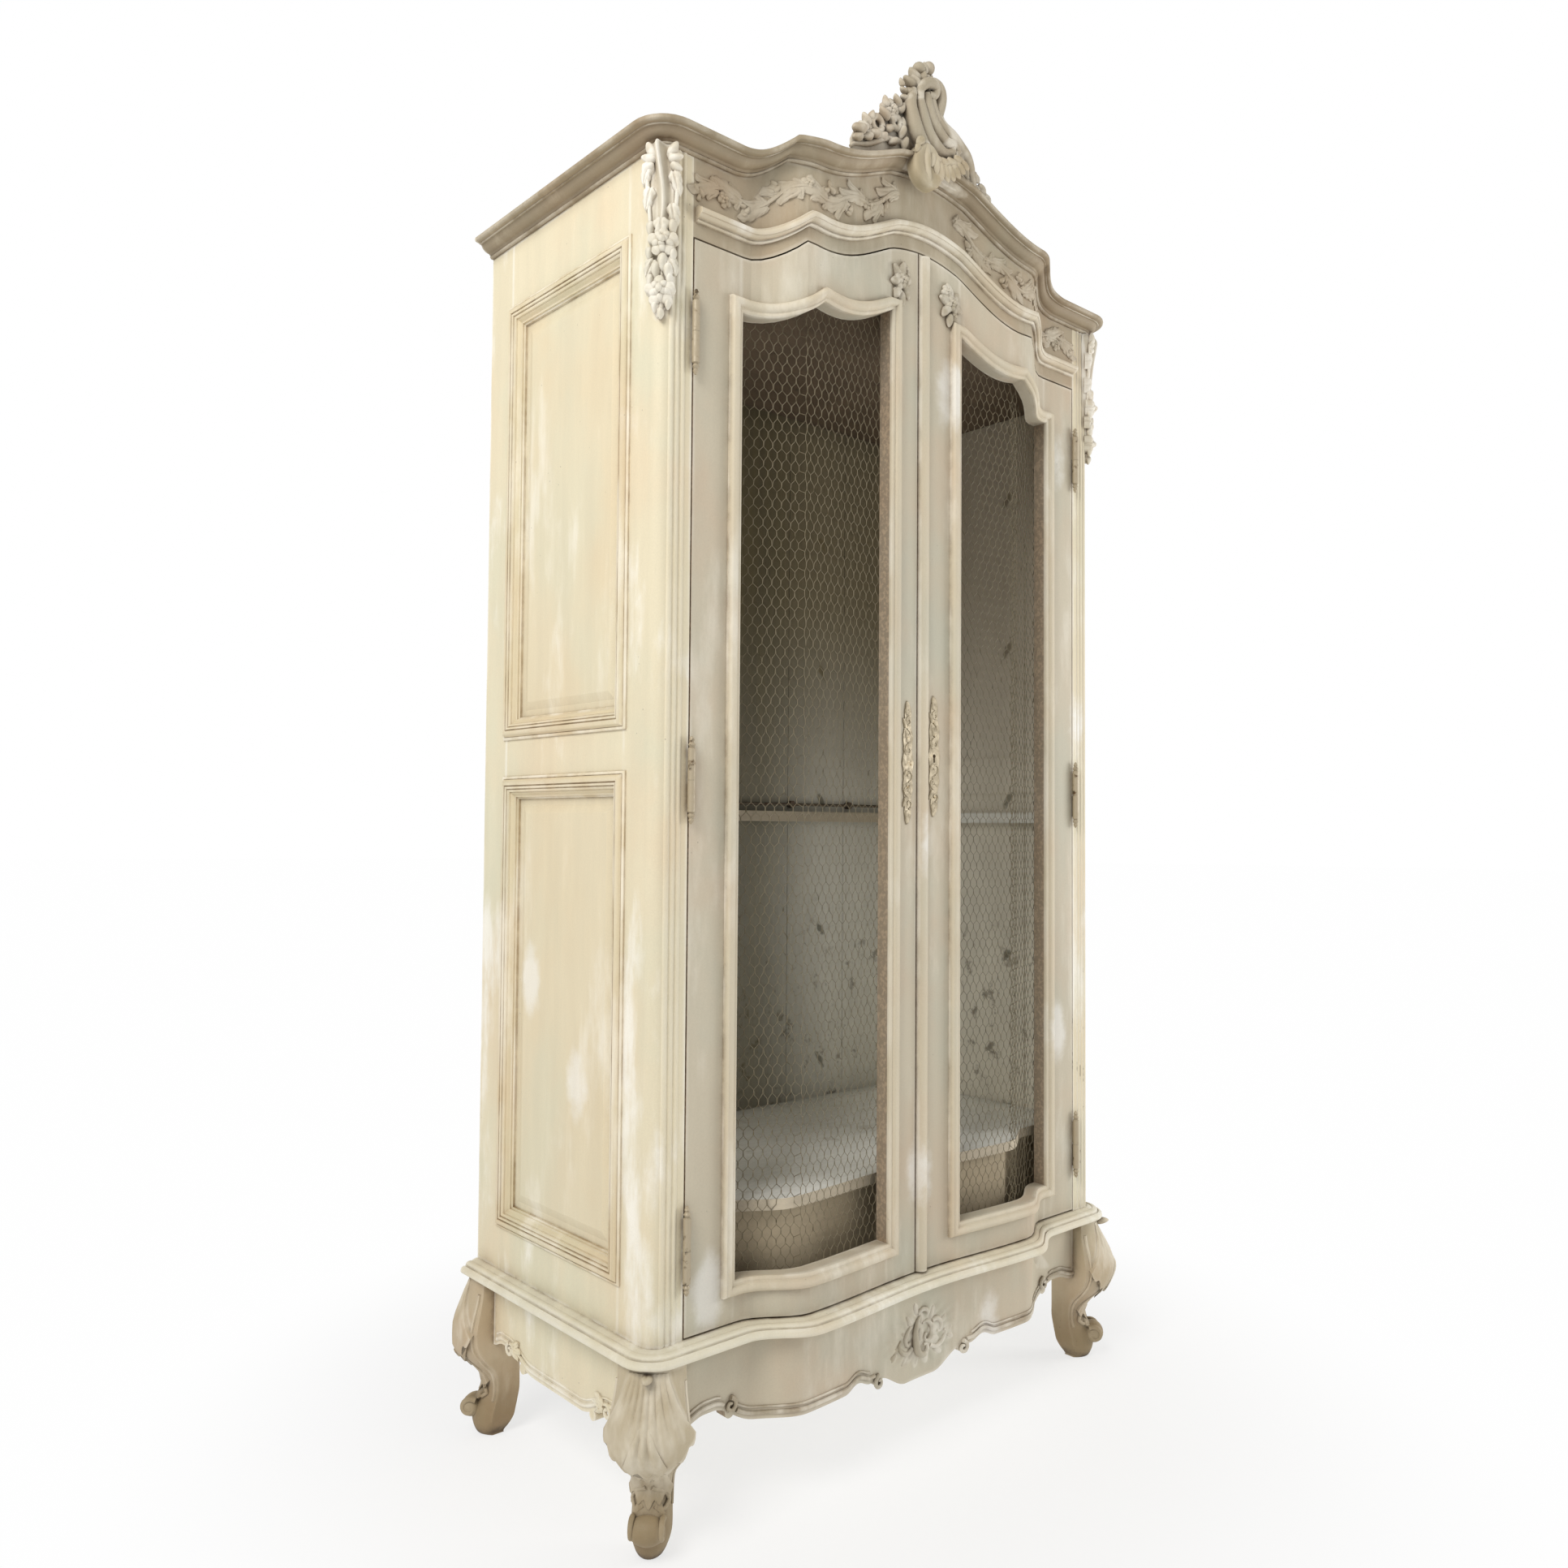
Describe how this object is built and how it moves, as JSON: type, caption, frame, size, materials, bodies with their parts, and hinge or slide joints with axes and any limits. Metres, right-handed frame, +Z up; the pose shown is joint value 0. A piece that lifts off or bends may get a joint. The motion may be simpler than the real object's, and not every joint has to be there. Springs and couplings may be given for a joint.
{
  "type": "kitchen dresser",
  "caption": "Tall painted wooden cupboard with a bowed, arched front, hinged doors with wire netting, lock and bolts, carved frieze and crest, shaped aprons and cabriole legs.",
  "frame": {"origin": "on the floor, in the middle of the bounding box", "axes": "+Z up, the doors face -Y, +X to the right of someone who stands before the doors"},
  "size_m": [1.2026, 0.616, 2.442],
  "materials": {
    "side_paint": "worn cream lime paint",
    "front_paint": "worn greyish beige lime paint",
    "cornice_paint": "worn paint with a darker glaze",
    "inner_wood": "matt, stained and limed",
    "iron": "worn and overpainted",
    "wire": "dull zinc",
    "lock_metal": "dull"
  },
  "bodies": {
    "carcass": {"front_post_left": "side_paint", "front_post_right": "side_paint", "back_post_left": "side_paint", "back_post_right": "side_paint", "side_rails_left": "side_paint", "side_rails_right": "side_paint", "side_panels_left": "side_paint", "side_panels_right": "side_paint", "side_mouldings_left": "side_paint", "side_mouldings_right": "side_paint", "back_planks": "inner_wood", "inner_battens": "inner_wood", "iron_rod": "iron", "floor_board": "inner_wood", "riser_board": "inner_wood", "ceiling_board": "inner_wood", "head_rail": "inner_wood", "top_board": "inner_wood", "bottom_board": "inner_wood", "cornice": "cornice_paint", "frieze_board": "front_paint", "frieze_moulding": "front_paint", "frieze_carving": "front_paint", "crest": "front_paint", "corner_brackets": "front_paint", "base_moulding": "side_paint", "front_apron": "front_paint", "side_aprons": "front_paint", "back_rail": "front_paint", "leg_front_left": "front_paint", "leg_front_right": "front_paint", "leg_back_left": "front_paint", "leg_back_right": "front_paint", "hinge_pins_left": "iron", "hinge_pins_right": "iron", "bolt_keepers": "iron"},
    "left_door": {"left_hinge_stile": "front_paint", "left_meeting_stile": "front_paint", "left_top_rail": "front_paint", "left_bottom_rail": "front_paint", "left_moulding": "side_paint", "left_netting": "wire", "left_ornaments": "front_paint", "left_barrels": "iron", "lock_keeper": "iron", "bolt_guides": "iron"},
    "right_door": {"right_hinge_stile": "front_paint", "right_meeting_stile": "front_paint", "right_top_rail": "front_paint", "right_bottom_rail": "front_paint", "right_moulding": "side_paint", "right_netting": "wire", "right_ornaments": "front_paint", "right_barrels": "iron", "seam_bead": "side_paint", "lock_case": "iron"},
    "top_bolt": {"top_bolt": "iron"},
    "bottom_bolt": {"bottom_bolt": "iron"},
    "lock_bolt": {"lock_bolt": "lock_metal"}
  },
  "joints": [
    {"name": "left_door_hinge", "type": "hinge", "parent": "carcass", "child": "left_door", "pos_m": [-0.492, -0.228, 1.146], "axis": [0, 0, -1], "range_deg": [0, 110]},
    {"name": "right_door_hinge", "type": "hinge", "parent": "carcass", "child": "right_door", "pos_m": [0.492, -0.228, 1.146], "axis": [0, 0, 1], "range_deg": [0, 110]},
    {"name": "lock_slide", "type": "slide", "parent": "right_door", "child": "lock_bolt", "axis": [-1, 0, 0], "range_m": [0, 0.012]},
    {"name": "top_bolt_slide", "type": "slide", "parent": "left_door", "child": "top_bolt", "axis": [0, 0, 1], "range_m": [0, 0.014]},
    {"name": "bottom_bolt_slide", "type": "slide", "parent": "left_door", "child": "bottom_bolt", "axis": [0, 0, -1], "range_m": [0, 0.014]}
  ]
}
